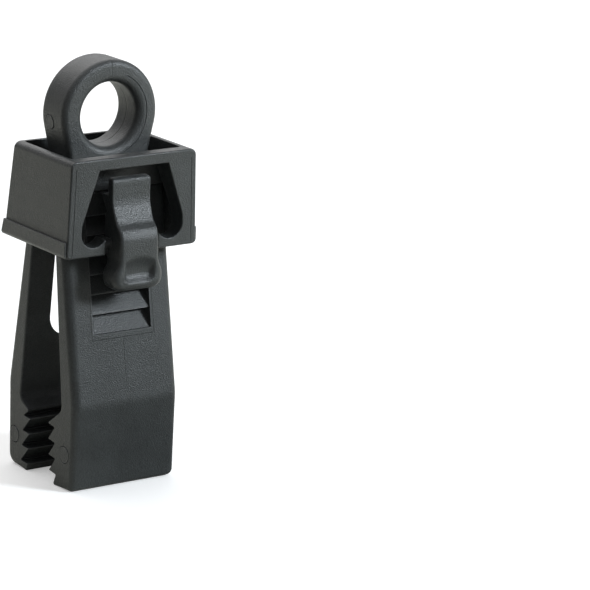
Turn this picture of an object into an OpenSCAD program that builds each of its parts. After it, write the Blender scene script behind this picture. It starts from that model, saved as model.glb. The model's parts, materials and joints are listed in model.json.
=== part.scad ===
// Tarp clip: a rope eye carries two toothed jaws, and a sliding collar wedges them shut.
// A rocking lever on the collar's front holds the collar at the teeth of a rack.
// Origin at the centre of the eye, +Z up to the eye's crown, front face towards -Y, jaws pointing down.

/* [Eye and yoke] */
// Diameter of the rope eye
eye_d = 15; // [11:0.5:17]
// Outside diameter of the ring around the eye
ring_d = 25.6; // [24:0.2:30]
// Thickness of the ring, front to back
ring_t = 10; // [8:0.5:12]
// Rounding at both mouths of the eye
eye_lip = 2; // [0.5:0.25:2.5]
// Rounding of the ring's outer edges
ring_edge = 1.5; // [0.5:0.25:2.5]
// Inward lean of the stem's sides below the ring, in degrees
stem_lean = 13.5; // [5:0.5:20]
// Distance from the eye down to the top of the hinge block
block_drop = 10.6; // [10:0.1:11.2]
// Height of the hinge block
block_h = 6.4; // [6.2:0.1:7]
// Wall of the hinge block outside each knuckle
block_wall = 0.8; // [0.6:0.1:1.2]

/* [Jaws] */
// Width of both jaws
jaw_w = 28.6; // [26:0.2:32]
// Distance from the eye down to the jaw tips
reach = 86.3; // [84:0.1:92]
// Height of the outer bend above the tips
bend_up = 20.5; // [18:0.5:22]
// Outer face to the middle plane, level with the parked collar's mouth
spread_mouth = 8.9; // [8.4:0.1:9.2]
// Outer face to the middle plane at the bend
spread_bend = 15; // [14.4:0.1:15.6]
// Outer face to the middle plane at the tip
spread_tip = 13.9; // [12.9:0.1:14.6]
// Inner face to the middle plane, level with the parked collar's mouth
gap_mouth = 5.4; // [4.8:0.1:5.8]
// Inner face to the middle plane at the throat above the teeth
gap_throat = 9; // [8.4:0.1:9.4]
// Height of the rounded throat above the row of teeth
throat_h = 4.4; // [4:0.1:5]
// Rounding of the jaws' outer long edges
jaw_edge = 2; // [0.5:0.25:2.5]
// Knuckle diameter where each jaw hangs in the block
knuckle_d = 4.4; // [4:0.1:4.8]
// Distance of each knuckle from the middle plane
knuckle_y = 4; // [3.6:0.1:4.4]
// Thickness of the neck below the knuckle
neck_t = 2.2; // [1.8:0.1:2.6]
// How far each jaw turns to close, in degrees
jaw_close = 4.3; // [3:0.1:4.4]

/* [Gripping teeth] */
// Number of whole teeth in each jaw
tooth_count = 4; // [3:1:4]
// Pitch of the gripping teeth
tooth_pitch = 3.75; // [3.4:0.05:3.8]
// Depth of the gripping teeth
tooth_depth = 3; // [2:0.1:3.4]
// Front tooth crests to the middle plane, at the top tooth
front_crest = 3.4; // [3:0.1:4]
// Rear tooth crests to the middle plane, at the top tooth
rear_crest = 4.4; // [4:0.1:5]
// Front crests to the throat's floor, at the top tooth
front_tooth_drop = 5.1; // [4.6:0.1:5.6]
// Rear crests to the throat's floor, at the top tooth
rear_tooth_drop = 6.4; // [6:0.1:7]

/* [Rack and slot] */
// Width of the rack's recess in the front jaw
rack_w = 15.8; // [13:0.2:18]
// Depth of the rack's crests below the jaw's face
rack_sink = 0.5; // [0.3:0.1:0.8]
// How far the rack's floor falls back below each ledge
rack_step = 2.2; // [1.4:0.1:2.4]
// Height of the flat on each crest
rack_land = 0.6; // [0.3:0.1:1]
// Pitch of the rack's ledges
rack_pitch = 4.5; // [4:0.1:5]
// Number of rack ledges
rack_count = 6; // [4:1:7]
// Distance from the eye down to the lowest ledge
rack_drop = 49.6; // [48:0.1:51]
// Width of the slot through the rear jaw
slot_w = 16; // [13:0.2:18]
// Distance from the eye down to the slot's lower end
slot_drop = 53.5; // [50:0.5:56]
// Distance from the eye down to the slot's upper end
slot_start = 26; // [24:0.5:28]
// Corner radius of the slot's ends
slot_r = 5; // [2:0.5:6]

/* [Collar] */
// Distance from the eye down to the collar's rim
collar_drop = 7.3; // [7:0.1:7.8]
// Height of the collar
collar_h = 22.7; // [21:0.1:24]
// How far the collar slides down to shut the jaws
collar_travel = 28.5; // [24:0.5:29]
// Side wall at the rim
side_wall_rim = 2.2; // [1.6:0.1:2.8]
// Side wall at the mouth
side_wall_mouth = 2.9; // [2.6:0.1:4]
// Rear wall at the rim
rear_wall_rim = 1; // [0.8:0.1:1.6]
// Rear wall at the mouth
rear_wall_mouth = 1.6; // [1.2:0.1:2]
// Front wall at the rim
front_wall_rim = 6.2; // [5.4:0.1:6.8]
// Front wall at the mouth
front_wall_mouth = 3.8; // [3.2:0.1:4.4]
// Play between the jaws' sides and the collar
side_play = 0.4; // [0.3:0.05:0.6]
// Play between a shut jaw and the collar's rear wall
rear_play = 0.3; // [0.2:0.05:0.6]
// Play ahead of the shut front jaw, where the lever's pawl works
front_play = 0.9; // [0.8:0.1:1.4]
// Rounding of the collar's corners, seen from the front
collar_corner = 1.5; // [0.5:0.1:2]
// Height of the raised band around the mouth
band_h = 4; // [3:0.25:5]
// How far the band stands out
band_proud = 0.4; // [0.2:0.05:0.6]

/* [Window] */
// Width of the window at its top
window_top_w = 18.6; // [16:0.2:20]
// Width of the window across its lobes
window_w = 27.4; // [25:0.2:28.4]
// Depth of the window's top edge below the rim
window_top = 2.7; // [2:0.1:3.5]
// Height of the band left below the lobes
sill_h = 2.1; // [1.6:0.1:2.6]
// Radius of the lobes
lobe_r = 3.5; // [2.6:0.1:3.6]
// Width of each cheek that carries the torsion bar
cheek_w = 2.2; // [1.6:0.1:2.6]
// Height of the cheeks above the mouth
cheek_h = 4.6; // [4.2:0.1:5]
// Radius of the hollow fillet from each cheek forward to the lever's side
web_r = 2; // [1.4:0.1:2.1]

/* [Release lever] */
// Width of the lever's strip
lever_w = 10.4; // [9:0.2:11.4]
// Width of the thumb pad
pad_w = 13.4; // [11.6:0.2:14]
// Height of the lever above its torsion bar
lever_up = 15.1; // [14:0.1:15.4]
// Drop of the thumb pad below its torsion bar
pad_drop = 10.9; // [9:0.1:12]
// Height of the wide pad
pad_h = 7; // [5.5:0.1:7.4]
// How far the pad stands out from the collar's face
pad_proud = 3.6; // [2.5:0.1:4.5]
// Depth of the pad behind its face
pad_depth = 5.9; // [4.8:0.1:6]
// Rounding of the pad's lower end
pad_round = 2.4; // [1.2:0.1:2.6]
// Thickness of the lever's upper strip
strip_t = 2.3; // [1.8:0.1:2.6]
// How far the upper strip sits back from the collar's face
strip_sink = 0.5; // [0.2:0.1:0.8]
// Diameter of the torsion bar
bar_d = 2.2; // [1.8:0.1:2.4]
// Torsion bar above the collar's mouth
bar_up = 2.4; // [2.2:0.1:2.8]
// Torsion bar behind the collar's front face
bar_back = 1.6; // [1.5:0.1:2]
// Top of the pawl above the torsion bar
pawl_up = 10.8; // [10.4:0.1:11.2]
// Height of the pawl's ramp
pawl_h = 3.4; // [2.6:0.1:4]
// How far the pawl stands behind the strip
pawl_reach = 3; // [2:0.1:3.2]
// Radius of the thumb scoop
scoop_r = 6; // [5:0.25:8]
// Depth of the thumb scoop
scoop_depth = 1.3; // [0.8:0.1:1.6]

/* [Hidden] */
$fn = 64;

// Running clearance in a socket, gaps between parts that pass, step from ring to stem, overrun of cuts
run_fit = 0.05;
pass_gap = 0.5;
lever_gap = 0.15;
stem_step = 0.2;
over = 1;
// Share of a round's radius from its corner to its axis
round_share = 0.96;
plastic = [0.09, 0.095, 0.1];
plastic_light = [0.13, 0.135, 0.14];

eye_r = eye_d / 2;
ring_r = ring_d / 2;
rim_z = -collar_drop;
mouth_z = rim_z - collar_h;
tip_z = -reach;
bend_z = tip_z + bend_up;
throat_z = tip_z + tooth_count * tooth_pitch + throat_h;

// Hinge block and knuckles
block_top = -block_drop;
block_bottom = block_top - block_h;
knuckle_r = knuckle_d / 2;
socket_r = knuckle_r + run_fit;
pivot_z = block_bottom + socket_r + run_fit;
block_y = knuckle_y + socket_r + block_wall;
neck_slot = neck_t + 2 * pass_gap;
shoulder_z = block_bottom - pass_gap;
stem_r = ring_r - stem_step;
stem_t = ring_t - 2 * stem_step;

// Outer face of an open jaw at height z, and of a shut one
function open_face(z) =
    spread_mouth + (spread_bend - spread_mouth) * (mouth_z - z) / (mouth_z - bend_z);
function shut_face(z) = open_face(z) - (pivot_z - z) * sin(jaw_close);

// Collar: inside faces clear the shut jaws, outside faces add the walls
inner_x = jaw_w / 2 + side_play;
rear_in_rim = shut_face(rim_z - collar_travel) + rear_play;
rear_in_mouth = shut_face(mouth_z - collar_travel) + rear_play;
front_in_rim = shut_face(rim_z - collar_travel) + front_play;
front_in_mouth = shut_face(mouth_z - collar_travel) + front_play;
front_face = front_in_mouth + front_wall_mouth;
bar_y = -(front_face - bar_back);
bar_z = mouth_z + bar_up;

// Lever: its face at the pad, at the strip, and its back
pad_face = front_face + pad_proud;
strip_face = front_face - strip_sink;
strip_back = strip_face - strip_t;
lever_back = -bar_y - bar_d;
pad_top = bar_z - pad_drop + pad_h;
pad_bottom = bar_z - pad_drop;

// Lever's front, from its top down: share of lever_up above the bar, share of the way from strip to pad
lever_front_shares = [
    [1.00, 0.00], [0.64, 0.00], [0.55, 0.06], [0.47, 0.17], [0.40, 0.32], [0.34, 0.48],
    [0.28, 0.65], [0.24, 0.77], [0.18, 0.87], [0.12, 0.94], [0.04, 0.98], [-0.02, 1.00]
];
// Throat curve from the inner face to the first crest: share of the way across, share of the way down
throat_shares = [[0.00, 0.00], [0.02, 0.28], [0.13, 0.50], [0.32, 0.66], [0.62, 0.84]];

module along_x(w) {
    rotate([90, 0, 90]) linear_extrude(w, center = true) children();
}

module along_y(t) {
    rotate([90, 0, 0]) linear_extrude(t, center = true) children();
}

module rod_x(r, w) {
    rotate([0, 90, 0]) cylinder(r = r, h = w, center = true);
}

// Takes a sharp corner at the origin off a solid that lies towards -x and -y, along z.
// The round's axis sits a little nearer to the corner than its radius, so it meets both faces at an edge.
module round_cut(r, length) {
    near = r * round_share;
    difference() {
        translate([-near, -near, 0]) cube([near + over, near + over, length]);
        translate([-near, -near, -over]) cylinder(r = r, h = length + 2 * over);
    }
}

// Eye and yoke

module ring_section() {
    lip_x = eye_r + eye_lip;
    edge_x = ring_r - ring_edge;
    translate([eye_r, eye_lip - ring_t / 2]) square([edge_x - eye_r, ring_t - 2 * eye_lip]);
    translate([lip_x, ring_edge - ring_t / 2]) square([ring_r - lip_x, ring_t - 2 * ring_edge]);
    translate([lip_x, -ring_t / 2]) square([edge_x - lip_x, ring_t]);
    for (side = [-1, 1]) {
        translate([lip_x, side * (ring_t / 2 - eye_lip)]) circle(eye_lip);
        translate([edge_x, side * (ring_t / 2 - ring_edge)]) circle(ring_edge);
    }
}

// Stem below the ring: its sides leave the ring along tangents and lean inwards
module stem() {
    tangent_x = stem_r * cos(stem_lean);
    tangent_z = -stem_r * sin(stem_lean);
    foot_z = block_top - stem_step;
    foot_x = tangent_x - (tangent_z - foot_z) * tan(stem_lean);
    length = ring_d;
    inside_r = (eye_r + eye_lip + ring_r - ring_edge) / 2;
    difference() {
        along_y(stem_t)
            polygon([[-tangent_x, tangent_z], [tangent_x, tangent_z], [foot_x, foot_z], [-foot_x, foot_z]]);
        for (mx = [0, 1], my = [0, 1]) mirror([mx, 0, 0]) mirror([0, my, 0])
            rotate([0, stem_lean, 0]) translate([stem_r, stem_t / 2, -length])
                round_cut(ring_edge, length + over);
        rotate([90, 0, 0]) cylinder(r = inside_r, h = 2 * ring_t, center = true);
    }
}

module socket_cut() {
    translate([0, 0, pivot_z]) rod_x(socket_r, jaw_w + 2 * over);
    translate([-jaw_w / 2 - over, -neck_slot / 2, block_bottom - over])
        cube([jaw_w + 2 * over, neck_slot, pivot_z - block_bottom + over]);
}

module ring_yoke() {
    color(plastic) difference() {
        union() {
            rotate([90, 0, 0]) rotate_extrude() ring_section();
            stem();
            translate([-jaw_w / 2, -block_y, block_bottom]) cube([jaw_w, 2 * block_y, block_h]);
        }
        for (side = [-1, 1]) translate([0, side * knuckle_y, 0]) socket_cut();
    }
}

// Jaws, drawn with y counted outwards from the middle plane

// Crests fall back from the middle plane so that both rows stand parallel when the jaws are shut
function crest_y(first, drop) = first + drop * tan(jaw_close);

function front_teeth() = [
    for (i = [0 : tooth_count - 1]) let (drop = i * tooth_pitch, z = throat_z - front_tooth_drop - drop)
        each [
            [crest_y(front_crest, drop), z],
            [crest_y(front_crest, drop) + tooth_depth, z - tooth_depth / 8]
        ],
    let (drop = tooth_count * tooth_pitch - tooth_depth / 2)
        [crest_y(front_crest, drop) + tooth_depth / 2, tip_z]
];

function rear_teeth() = [
    [crest_y(rear_crest, 0) + tooth_depth / 5, throat_z - rear_tooth_drop + tooth_pitch / 2],
    for (i = [0 : tooth_count - 1]) let (drop = i * tooth_pitch, z = throat_z - rear_tooth_drop - drop)
        each [
            [crest_y(rear_crest, drop) + tooth_depth, z + tooth_depth / 16],
            [crest_y(rear_crest, drop), z]
        ],
    [crest_y(rear_crest, tooth_count * tooth_pitch), tip_z]
];

function throat_curve(first) = [
    for (p = throat_shares)
        [gap_throat + (first[0] - gap_throat) * p[0], throat_z + (first[1] - throat_z) * p[1]]
];

function jaw_outline(teeth) = concat(
    [
        [knuckle_y - neck_t / 2, pivot_z], [knuckle_y - neck_t / 2, shoulder_z],
        [gap_mouth, mouth_z]
    ],
    throat_curve(teeth[0]), teeth,
    [
        [spread_tip, tip_z], [spread_bend, bend_z], [spread_mouth, mouth_z],
        [knuckle_y + neck_t, shoulder_z], [knuckle_y + neck_t / 2, shoulder_z],
        [knuckle_y + neck_t / 2, pivot_z]
    ]
);

// Rounds the outer long edges of a jaw between two points of its outline
module edge_cut(a, b) {
    lean = atan2(b[0] - a[0], a[1] - b[1]);
    length = norm(b - a);
    for (side = [0, 1]) mirror([side, 0, 0])
        translate([jaw_w / 2, a[0], a[1]]) rotate([lean, 0, 0])
            translate([0, 0, -length - over]) round_cut(jaw_edge, length + 2 * over);
}

module jaw(teeth) {
    difference() {
        union() {
            along_x(jaw_w) polygon(jaw_outline(teeth));
            translate([0, knuckle_y, pivot_z]) rod_x(knuckle_r, jaw_w);
        }
        edge_cut([spread_mouth, mouth_z], [spread_bend, bend_z]);
        edge_cut([spread_bend, bend_z], [spread_tip, tip_z]);
    }
}

// Rack: a recess whose floor climbs to a flat crest above each ledge, deepest right below the ledge
function rack_crest(z) = open_face(z) - rack_sink;

function rack_points() = let (low = -rack_drop, top = low + rack_count * rack_pitch)
    concat(
        [[open_face(low) + over, low], [rack_crest(low), low]],
        [for (i = [1 : rack_count - 1]) let (z = low + i * rack_pitch, land = z + rack_land)
            each [[rack_crest(z) - rack_step, z], [rack_crest(z), z], [rack_crest(land), land]]],
        [[rack_crest(top) - rack_step, top], [open_face(top) + over, top]]
    );

module front_jaw() {
    color(plastic) mirror([0, 1, 0]) difference() {
        jaw(front_teeth());
        along_x(rack_w) polygon(rack_points());
    }
}

module slot_shape() {
    half = slot_w / 2 - slot_r;
    for (x = [-half, half], z = [-slot_drop + slot_r, -slot_start - slot_r])
        translate([x, z]) circle(slot_r);
    translate([-slot_w / 2, -slot_drop + slot_r]) square([slot_w, slot_drop - slot_start - 2 * slot_r]);
    translate([-half, -slot_drop]) square([2 * half, slot_drop - slot_start]);
}

module rear_jaw() {
    color(plastic) difference() {
        jaw(rear_teeth());
        translate([0, spread_bend, 0]) along_y(2 * spread_bend) slot_shape();
    }
}

// Collar

module collar_side(front_rim, front_mouth, rear_rim, rear_mouth, extra) {
    grow = extra / collar_h;
    polygon([
        [-front_rim + (front_mouth - front_rim) * grow, rim_z + extra],
        [rear_rim - (rear_mouth - rear_rim) * grow, rim_z + extra],
        [rear_mouth + (rear_mouth - rear_rim) * grow, mouth_z - extra],
        [-front_mouth - (front_mouth - front_rim) * grow, mouth_z - extra]
    ]);
}

// Front view of the collar: a trapezium with its four corners rounded
module collar_front() {
    rim = inner_x + side_wall_rim;
    mouth = inner_x + side_wall_mouth;
    r = collar_corner;
    lift = (mouth - rim) * r / collar_h;
    for (sx = [-1, 1]) {
        translate([sx * (rim - r + lift), rim_z - r]) circle(r);
        translate([sx * (mouth - r - lift), mouth_z + r]) circle(r);
    }
    polygon([
        [-rim + r - lift, rim_z], [rim - r + lift, rim_z], [rim + lift, rim_z - r],
        [mouth - lift, mouth_z + r], [mouth - r - lift, mouth_z], [r + lift - mouth, mouth_z],
        [lift - mouth, mouth_z + r],
        [-rim - lift, rim_z - r]
    ]);
}

module band() {
    half = inner_x + side_wall_mouth + band_proud;
    r = collar_corner;
    rear = rear_in_mouth + rear_wall_mouth + band_proud;
    lip = front_face - collar_corner;
    intersection() {
        along_y(2 * (rear + front_face)) {
            for (sx = [-1, 1]) translate([sx * (half - r), mouth_z + r]) circle(r);
            translate([-half, mouth_z + r]) square([2 * half, band_h - r]);
            translate([r - half, mouth_z]) square([2 * (half - r), r]);
        }
        translate([-half, -lip, mouth_z]) cube([2 * half, lip + rear, band_h]);
    }
}

// Window: a trapezium, a round lobe at each lower corner, and a notch for the lever between the cheeks
module window_shape() {
    lobe_x = window_w / 2 - lobe_r;
    lobe_z = mouth_z + sill_h + lobe_r;
    cheek_x = lever_w / 2 + lever_gap + cheek_w;
    top_z = rim_z - window_top;
    shoulder = lobe_z + lobe_r / 2;
    for (side = [0, 1]) mirror([side, 0]) {
        translate([lobe_x, lobe_z]) circle(lobe_r);
        polygon([
            [0, mouth_z + cheek_h], [cheek_x, mouth_z + cheek_h], [cheek_x, lobe_z - lobe_r / 2],
            [lobe_x, lobe_z - lobe_r / 2], [lobe_x, lobe_z], [window_w / 2, lobe_z],
            [window_w / 2 - lobe_r / 8, shoulder], [window_top_w / 2, top_z], [0, top_z]
        ]);
    }
    translate([-lever_w / 2 - lever_gap, mouth_z - over])
        square([lever_w + 2 * lever_gap, cheek_h + 2 * over]);
}

// Hollow fillet on a cheek's front, seen from above, that runs forward along the lever's side
module web() {
    r = web_r * round_share;
    turns = 8;
    polygon(concat(
        [[0, front_wall_mouth / 2], [0, -web_r]],
        [for (i = [0 : turns]) let (a = i * 90 / turns) [web_r - r * cos(a), r * sin(a) - web_r]],
        [[web_r, front_wall_mouth / 2]]
    ));
}

module collar() {
    span = 2 * (inner_x + side_wall_mouth + over);
    depth = 2 * (front_face + over);
    cut = front_in_rim / 2;
    color(plastic_light) {
        difference() {
            union() {
                intersection() {
                    along_x(span) collar_side(
                        front_in_rim + front_wall_rim, front_face,
                        rear_in_rim + rear_wall_rim, rear_in_mouth + rear_wall_mouth, 0
                    );
                    along_y(depth) collar_front();
                }
                band();
            }
            along_x(2 * inner_x)
                collar_side(front_in_rim, front_in_mouth, rear_in_rim, rear_in_mouth, over);
            translate([0, -front_face - over + cut / 2, 0])
                along_y(front_face - cut + over) window_shape();
        }
        translate([0, bar_y, bar_z]) rod_x(bar_d / 2, lever_w + 2 * lever_gap + cheek_w);
        for (side = [0, 1]) mirror([side, 0, 0])
            translate([lever_w / 2 + lever_gap, -front_face, mouth_z + pass_gap / 2])
                linear_extrude(cheek_h - pass_gap) web();
    }
}

// Release lever

function lever_outline() = concat(
    [for (p = lever_front_shares)
        [-(strip_face + (pad_face - strip_face) * p[1]), bar_z + lever_up * p[0]]],
    [
        [-pad_face, pad_bottom + pad_round], [-(pad_face - pad_depth), pad_bottom + pad_round],
        [-(pad_face - pad_depth), mouth_z - pass_gap], [-lever_back, mouth_z],
        [-lever_back, bar_z + pawl_up - pawl_h],
        [-(strip_back - pawl_reach), bar_z + pawl_up - rack_land / 2],
        [-(strip_back - pawl_reach), bar_z + pawl_up],
        [-strip_back, bar_z + pawl_up],
        [-strip_back, bar_z + lever_up]
    ]
);

module pad_section() {
    back = pad_face - pad_depth;
    translate([-pad_face, pad_bottom + pad_round]) square([pad_depth, pad_h - pad_round]);
    translate([-pad_face + pad_round, pad_bottom]) square([pad_depth - 2 * pad_round, pad_round]);
    for (y = [-pad_face + pad_round, -back - pad_round])
        translate([y, pad_bottom + pad_round]) circle(pad_round);
}

module release_lever() {
    color(plastic) difference() {
        union() {
            along_x(lever_w) polygon(lever_outline());
            along_x(pad_w) pad_section();
        }
        translate([0, bar_y, bar_z]) rod_x(bar_d / 2 + run_fit, pad_w + 2 * over);
        translate([0, -pad_face - scoop_r + scoop_depth, pad_bottom + pad_h / 2]) sphere(scoop_r);
    }
}

ring_yoke();
front_jaw();
rear_jaw();
collar();
release_lever();
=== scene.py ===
"""Looks of the tarp clip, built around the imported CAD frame, in millimetres where nothing else is said."""

import json
import math
from collections import namedtuple

import bmesh
import bpy
from mathutils import Euler, Matrix, Vector


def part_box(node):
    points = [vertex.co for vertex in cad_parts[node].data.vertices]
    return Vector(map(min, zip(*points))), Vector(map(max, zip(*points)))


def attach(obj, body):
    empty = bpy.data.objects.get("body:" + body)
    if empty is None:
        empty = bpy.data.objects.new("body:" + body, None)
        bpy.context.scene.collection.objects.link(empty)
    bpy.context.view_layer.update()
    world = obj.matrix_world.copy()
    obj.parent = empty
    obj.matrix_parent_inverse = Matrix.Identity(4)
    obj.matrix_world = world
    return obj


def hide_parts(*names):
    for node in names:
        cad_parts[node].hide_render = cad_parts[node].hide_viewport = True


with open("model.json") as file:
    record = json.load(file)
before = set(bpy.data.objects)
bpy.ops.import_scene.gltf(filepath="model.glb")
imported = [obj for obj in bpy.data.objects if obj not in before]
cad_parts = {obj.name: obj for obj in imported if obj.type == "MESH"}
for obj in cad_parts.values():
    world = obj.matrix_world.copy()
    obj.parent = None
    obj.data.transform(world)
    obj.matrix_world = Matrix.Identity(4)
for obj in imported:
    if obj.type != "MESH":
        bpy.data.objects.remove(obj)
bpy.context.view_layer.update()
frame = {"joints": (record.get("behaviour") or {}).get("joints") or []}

MM = 0.001
TINY = 1e-6


def node_box(node):
    """Lowest and highest corner of a CAD node."""
    return [[round(v / MM, 3) for v in corner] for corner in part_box(node)]


def joint_row(name):
    return next(row for row in frame["joints"] if row["name"] == name)


def joint_place(name):
    return [round(v / MM, 3) for v in joint_row(name)["pos_m"]]


# Sizes taken from the solids, with heights counted from the centre of the eye
yoke_low, yoke_high = node_box("ring_yoke")
jaw_low, jaw_high = node_box("front_jaw")
collar_low, collar_high = node_box("collar")
lever_low, lever_high = node_box("release_lever")
BLOCK_HALF, BLOCK_LOW = yoke_high[1], yoke_low[2]
JAW_HALF, TIP = jaw_high[0], jaw_low[2]
SPREAD_BEND = -jaw_low[1]
BAND_HALF, RIM, MOUTH = collar_high[0], collar_high[2], collar_low[2]
LEVER_TOP, LEVER_LOW = lever_high[2], lever_low[2]
PIVOT_Y, PIVOT_Z = joint_place("rear_jaw_hinge")[1:]
BAR_Y, BAR_Z = joint_place("lever_rock")[1:]
CLOSE_TAN = math.tan(math.radians(joint_row("front_jaw_hinge")["range_deg"][1]))

# How far a cutter stands out of what it cuts
BEYOND = 2.0


# Outlines

CORNER_STEP, FINE_STEP = 11.0, 9.0
STRAIGHT = math.radians(178.5)
CORNER_SHARE, EDGE_SHARE = 0.49, 0.9
LEAST_SIDE, LEAST_LAYER, LEAST_MITRE = 0.004, 0.02, 0.4
FINE_PARTS, COARSE_PARTS = 7, 3


def quarter(parts):
    """Angles of a quarter turn in equal parts, both ends included."""
    return [math.pi / 2 * k / parts for k in range(parts + 1)]


def full_turn(parts, shift=0.0):
    """Angles once around in equal parts; shift is a share of a part."""
    return [2 * math.pi * (k + shift) / parts for k in range(parts)]


def signed_area(loop):
    """Twice the area of an outline, above zero where it runs counter-clockwise."""
    return sum(loop[i - 1][0] * loop[i][1] - loop[i][0] * loop[i - 1][1] for i in range(len(loop)))


def fillet_loop(points, step=CORNER_STEP):
    """Rounds the corners of a closed outline. A point is (u, v, corner radius, side rounding)."""
    out = []
    count = len(points)
    turning = signed_area(points)
    for i in range(count):
        u, v, r, side = points[i]
        p = Vector((u, v))
        a = Vector(points[i - 1][:2]) - p
        b = Vector(points[(i + 1) % count][:2]) - p
        length_a, length_b = a.length, b.length
        a.normalize()
        b.normalize()
        angle = a.angle(b)
        if r <= 0 or angle > STRAIGHT:
            out.append((u, v, side))
            continue
        t = min(r / math.tan(angle / 2), CORNER_SHARE * length_a, CORNER_SHARE * length_b)
        r = t * math.tan(angle / 2)
        if turning * (b.x * a.y - b.y * a.x) > 0:
            side = min(side, EDGE_SHARE * r)
        c = p + (a + b).normalized() * (r / math.sin(angle / 2))
        start, end = p + a * t - c, p + b * t - c
        first = math.atan2(start.y, start.x)
        sweep = math.atan2(end.y, end.x) - first
        sweep = (sweep + math.pi) % (2 * math.pi) - math.pi
        parts = max(2, math.ceil(abs(math.degrees(sweep)) / step))
        for k in range(parts + 1):
            w = first + sweep * k / parts
            out.append((c.x + r * math.cos(w), c.y + r * math.sin(w), side))
    return out


def rectangle(u0, v0, u1, v1, r=0.0):
    """A rectangle with rounded corners."""
    return fillet_loop([(u0, v0, r, 0), (u1, v0, r, 0), (u1, v1, r, 0), (u0, v1, r, 0)])


def trapezoid(low_half, low, low_round, top_half, top, top_round):
    """A face seen from the front, with rounded corners, whose upper side has its own width."""
    corners = [
        (-low_half, low, low_round, 0), (low_half, low, low_round, 0),
        (top_half, top, top_round, 0), (-top_half, top, top_round, 0),
    ]
    return fillet_loop(corners, FINE_STEP)


def arc(cu, cv, r, start, end, side, parts):
    """Points of an arc about (cu, cv), from start to end in degrees."""
    angles = [math.radians(start + (end - start) * k / parts) for k in range(parts + 1)]
    return [(cu + r * math.cos(a), cv + r * math.sin(a), side) for a in angles]


def clean_loop(loop):
    """The outline counter-clockwise, without points that nearly coincide."""
    ordered = loop if signed_area(loop) > 0 else reversed(loop)
    out = []
    for p in ordered:
        if not out or math.hypot(p[0] - out[-1][0], p[1] - out[-1][1]) > LEAST_SIDE:
            out.append(p)
    if math.hypot(out[0][0] - out[-1][0], out[0][1] - out[-1][1]) <= LEAST_SIDE:
        out.pop()
    return out


def inset(loop, s, sign=1.0):
    """The outline a distance s from the end of a prism whose long edges have the points' own rounding."""
    out = []
    count = len(loop)
    for i in range(count):
        u, v, r = loop[i]
        p = Vector((u, v))
        e1 = (p - Vector(loop[i - 1][:2])).normalized()
        e2 = (Vector(loop[(i + 1) % count][:2]) - p).normalized()
        n1, n2 = Vector((-e1.y, e1.x)), Vector((-e2.y, e2.x))
        m = n1 + n2
        m = m.normalized() if m.length > TINY else n1
        d = r - math.sqrt(max(0.0, r * r - (r - s) ** 2)) if s < r else 0.0
        q = p + m * (sign * d / max(LEAST_MITRE, m.dot(n1)))
        out.append((q.x, q.y))
    return out


def end_steps(loop, fine=FINE_PARTS):
    """Distances from the end of a prism where its rounding needs a layer."""
    radii = sorted({round(p[2], 3) for p in loop if p[2] > 0})
    steps = {0.0}
    for r in radii:
        for w in quarter(fine if r == radii[-1] else COARSE_PARTS)[1:]:
            steps.add(round(r * (1 - math.cos(w)), 4))
    out = []
    for s in sorted(steps):
        if not out or s - out[-1] > LEAST_LAYER:
            out.append(s)
    return out


# Meshes

SHARP_ANGLE, NORMAL_WEIGHT = math.radians(32.0), 80
SAME_PLACE_M, NO_LENGTH_M = 2e-6, 1e-6
DISC_BEVEL = 0.05


def new_object(name, verts, faces):
    mesh = bpy.data.meshes.new(name)
    mesh.from_pydata([(x * MM, y * MM, z * MM) for x, y, z in verts], [], faces)
    mesh.validate()
    obj = bpy.data.objects.new(name, mesh)
    bpy.context.scene.collection.objects.link(obj)
    bm = bmesh.new()
    bm.from_mesh(mesh)
    bmesh.ops.recalc_face_normals(bm, faces=bm.faces)
    bm.to_mesh(mesh)
    bm.free()
    return obj


def skin(n, pairs):
    """Faces between pairs of sections of n points."""
    faces = []
    for a, b in pairs:
        for k in range(n):
            j = (k + 1) % n
            faces.append((a * n + k, a * n + j, b * n + j, b * n + k))
    return faces


def loft(name, layers):
    """A closed skin through sections of the same number of points, with flat ends."""
    n, last = len(layers[0]), len(layers) - 1
    faces = skin(n, [(k, k + 1) for k in range(last)])
    faces.append(tuple(range(n - 1, -1, -1)))
    faces.append(tuple(last * n + i for i in range(n)))
    return new_object(name, [p for layer in layers for p in layer], faces)


def closed_ring(name, sections):
    """A skin through sections that go once around and meet the first again."""
    count = len(sections)
    faces = skin(len(sections[0]), [(k, (k + 1) % count) for k in range(count)])
    return new_object(name, [p for section in sections for p in section], faces)


def prism_x(name, loop, half, flip=1.0):
    """The outline in (y, z) drawn across the clip, its two ends rounded over."""
    loop = clean_loop(loop)
    steps = end_steps(loop)
    layers = []
    for s in steps:
        layers.append([(-half + s, flip * u, v) for u, v in inset(loop, s)])
    for s in reversed(steps):
        layers.append([(half - s, flip * u, v) for u, v in inset(loop, s)])
    return loft(name, layers)


def prism_y(name, loop, front, rear, edge=0.0):
    """The outline in (x, z) drawn from y at the front to y at the rear; edge rounds both ends."""
    loop = [(u, v, edge) for u, v, _ in clean_loop(loop)]
    steps = end_steps(loop)
    layers = []
    for s in steps:
        layers.append([(u, front(v) + s, v) for u, v in inset(loop, s)])
    for s in reversed(steps):
        layers.append([(u, rear(v) - s, v) for u, v in inset(loop, s)])
    return loft(name, layers)


def combine(obj, other, operation):
    mod = obj.modifiers.new("combine", "BOOLEAN")
    mod.operation = operation
    mod.object = other
    mod.solver = "MANIFOLD"
    graph = bpy.context.evaluated_depsgraph_get()
    mesh = bpy.data.meshes.new_from_object(obj.evaluated_get(graph))
    obj.modifiers.clear()
    old, gone = obj.data, other.data
    obj.data = mesh
    mesh.name = obj.name
    bpy.data.meshes.remove(old)
    bpy.data.objects.remove(other)
    bpy.data.meshes.remove(gone)
    return obj


def cut(obj, other):
    return combine(obj, other, "DIFFERENCE")


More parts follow.
